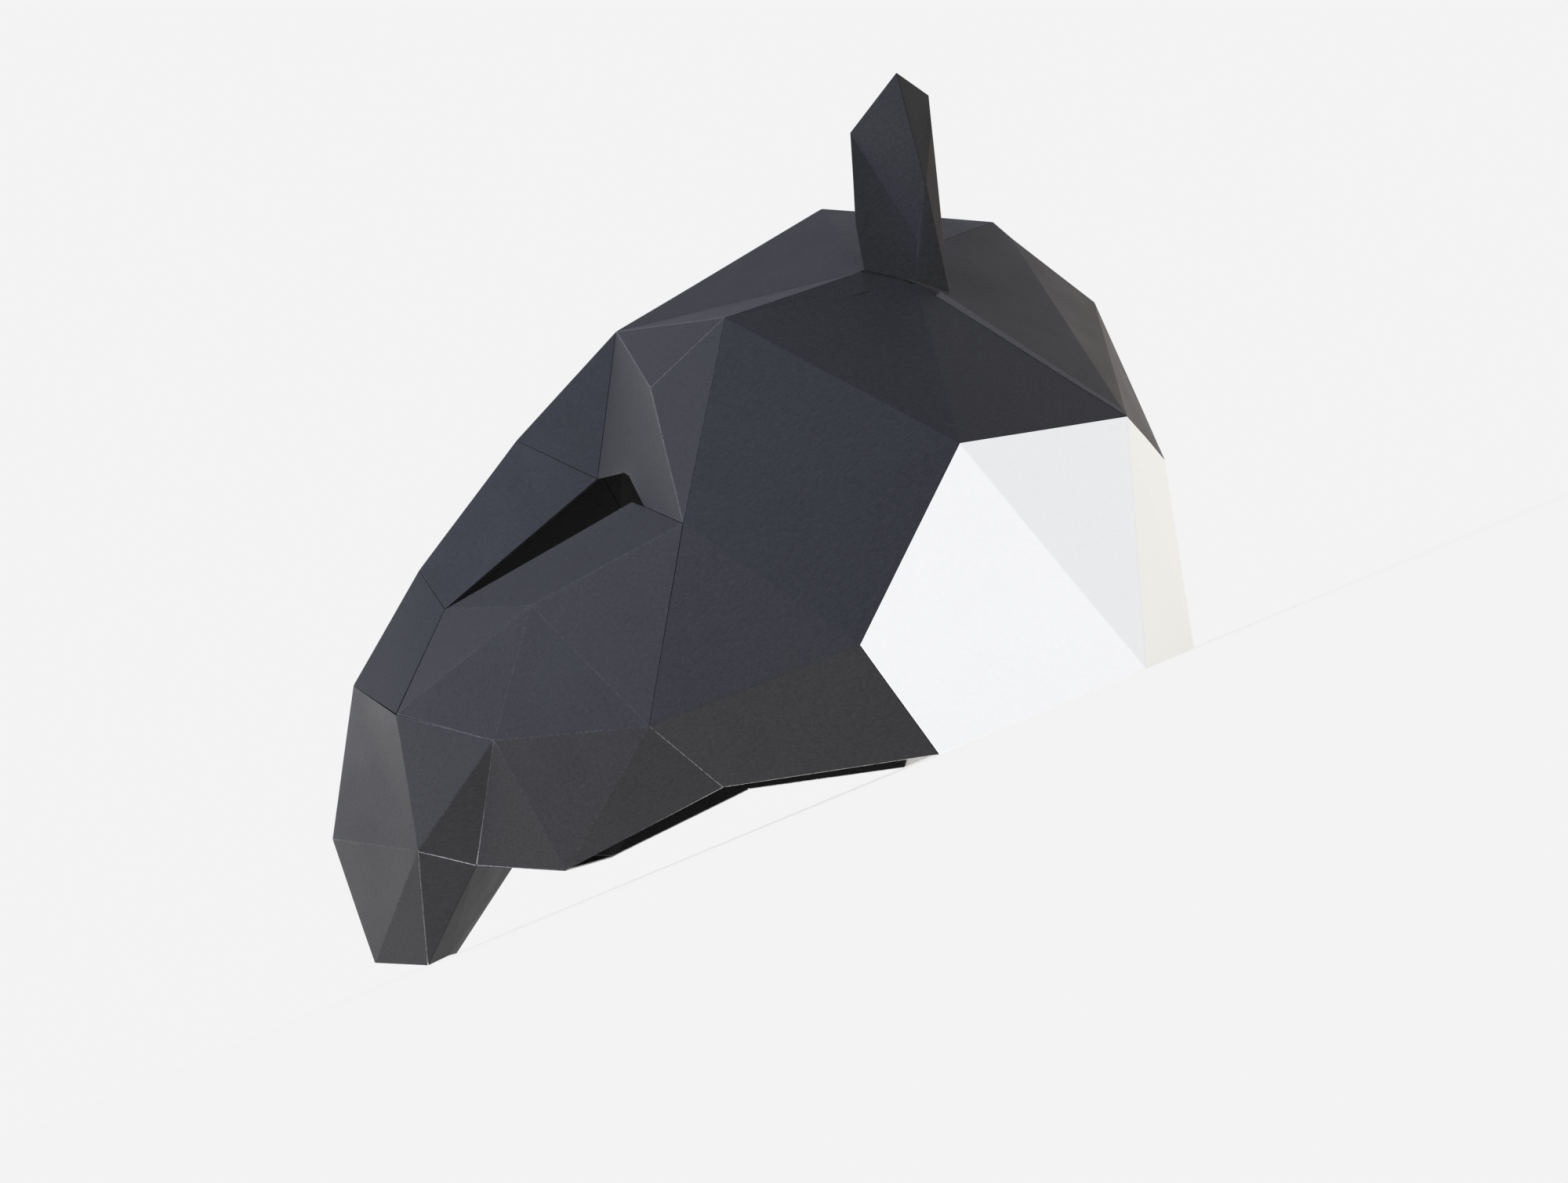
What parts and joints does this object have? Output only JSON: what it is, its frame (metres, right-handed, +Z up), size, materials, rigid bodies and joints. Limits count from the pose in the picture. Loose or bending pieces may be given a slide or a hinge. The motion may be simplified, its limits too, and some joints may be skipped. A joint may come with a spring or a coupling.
{
  "type": "paper tapir mask",
  "caption": "Full-head animal mask folded from black card in flat facets, with a hanging trunk, upright ears, open eyes and a white patch round the nape.",
  "frame": {"origin": "centre of the mask's box, on the floor that its lower rim stands on", "axes": "-Y is the way the mask looks, +X is the wearer's left, +Z is up"},
  "size_m": [0.2578, 0.418, 0.2692],
  "materials": {
    "black_card": "matt",
    "white_card": "matt",
    "pale_card": "matt"
  },
  "bodies": {
    "root": {"forehead": "black_card", "crown_back": "black_card", "brow_left": "black_card", "brow_right": "black_card", "nose_upper": "black_card", "nose_bridge": "black_card", "nose_lower": "black_card", "trunk_front": "black_card", "trunk_back": "black_card", "chin": "black_card", "muzzle_left": "black_card", "muzzle_right": "black_card", "side_left": "black_card", "side_right": "black_card", "ear_left": "black_card", "ear_right": "black_card", "neck_patch": "white_card", "trunk_end": "pale_card"}
  },
  "joints": []
}
